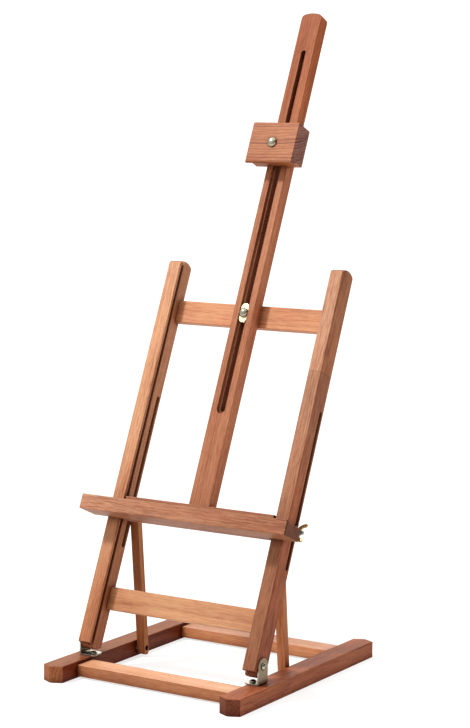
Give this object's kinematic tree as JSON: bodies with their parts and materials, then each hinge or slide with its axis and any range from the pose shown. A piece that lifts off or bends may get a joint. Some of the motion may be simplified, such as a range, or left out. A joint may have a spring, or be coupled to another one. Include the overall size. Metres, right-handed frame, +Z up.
{
  "type": "tabletop easel",
  "caption": "Wooden tabletop easel: leaning frame on a base, sliding mast with canvas tray and top canvas block, side struts and wing-nut clamps.",
  "frame": {"origin": "on the table, under the centre of the bounding box", "axes": "+X to the right seen from the front, +Y towards the back, +Z up"},
  "size_m": [0.318, 0.4396, 0.8785],
  "materials": {
    "stained_beech": "oiled satin, reddish brown",
    "pale_beech": "oiled satin, lighter tan",
    "zinc_steel": "bright zinc plate",
    "brass": "satin brass plate"
  },
  "bodies": {
    "base": {"runner_left": "stained_beech", "runner_right": "stained_beech", "base_rail_front": "pale_beech", "base_rail_rear": "pale_beech", "hinge_bracket_left": "zinc_steel", "hinge_bracket_right": "zinc_steel", "bracket_screws": "zinc_steel", "strut_pivot_screws": "zinc_steel", "strut_spacers": "zinc_steel"},
    "frame": {"upright_left": "stained_beech", "upright_right": "stained_beech", "upper_crossbar": "stained_beech", "lower_crossbar": "pale_beech", "hinge_screws": "zinc_steel", "clamp_bolt": "zinc_steel", "clamp_plate": "brass", "clamp_washer": "zinc_steel"},
    "carriage": {"mast": "stained_beech", "tray_guide": "stained_beech", "tray_board": "stained_beech", "tray_lip": "stained_beech"},
    "block": {"canvas_block": "stained_beech", "block_bolt": "zinc_steel", "block_washer": "zinc_steel"},
    "strut_left": {"strut_left": "stained_beech", "strut_bolt_left": "zinc_steel", "strut_washer_left": "zinc_steel"},
    "strut_right": {"strut_right": "stained_beech", "strut_bolt_right": "zinc_steel", "strut_washer_right": "zinc_steel"},
    "nut_left": {"strut_wing_nut_left": "brass"},
    "nut_right": {"strut_wing_nut_right": "brass"},
    "nut_clamp": {"clamp_wing_nut": "brass"},
    "nut_block": {"block_wing_nut": "brass"}
  },
  "joints": [
    {"name": "frame_tilt", "type": "hinge", "parent": "base", "child": "frame", "pos_m": [0, -0.13986, 0.04546], "axis": [1, 0, 0], "range_deg": [-4.5, 13.5]},
    {"name": "strut_left_swing", "type": "hinge", "parent": "base", "child": "strut_left", "pos_m": [0, -0.04229, 0.0125], "axis": [1, 0, 0], "range_deg": [-4.6, 13.6]},
    {"name": "strut_right_swing", "type": "hinge", "parent": "base", "child": "strut_right", "pos_m": [0, -0.04229, 0.0125], "axis": [1, 0, 0], "range_deg": [-4.6, 13.6]},
    {"name": "carriage_slide", "type": "slide", "parent": "frame", "child": "carriage", "axis": [0, 0.3955, 0.9184], "range_m": [-0.1, 0.125]},
    {"name": "block_slide", "type": "slide", "parent": "carriage", "child": "block", "axis": [0, 0.3955, 0.9184], "range_m": [-0.085, 0.143]},
    {"name": "clamp_nut_turn", "type": "hinge", "parent": "frame", "child": "nut_clamp", "pos_m": [0, 0.0574, 0.4619], "axis": [0, 0.9184, -0.3955], "continuous": true},
    {"name": "block_nut_turn", "type": "hinge", "parent": "block", "child": "nut_block", "pos_m": [0, 0.1406, 0.68302], "axis": [0, 0.9184, -0.3955], "continuous": true},
    {"name": "strut_nut_left_turn", "type": "hinge", "parent": "strut_left", "child": "nut_left", "pos_m": [0, -0.06145, 0.20528], "axis": [1, 0, 0], "continuous": true},
    {"name": "strut_nut_right_turn", "type": "hinge", "parent": "strut_right", "child": "nut_right", "pos_m": [0, -0.06145, 0.20528], "axis": [1, 0, 0], "continuous": true}
  ],
  "couplings": [
    {"joint": "strut_left_swing", "follows": "frame_tilt", "ratio": 1},
    {"joint": "strut_right_swing", "follows": "frame_tilt", "ratio": 1}
  ]
}
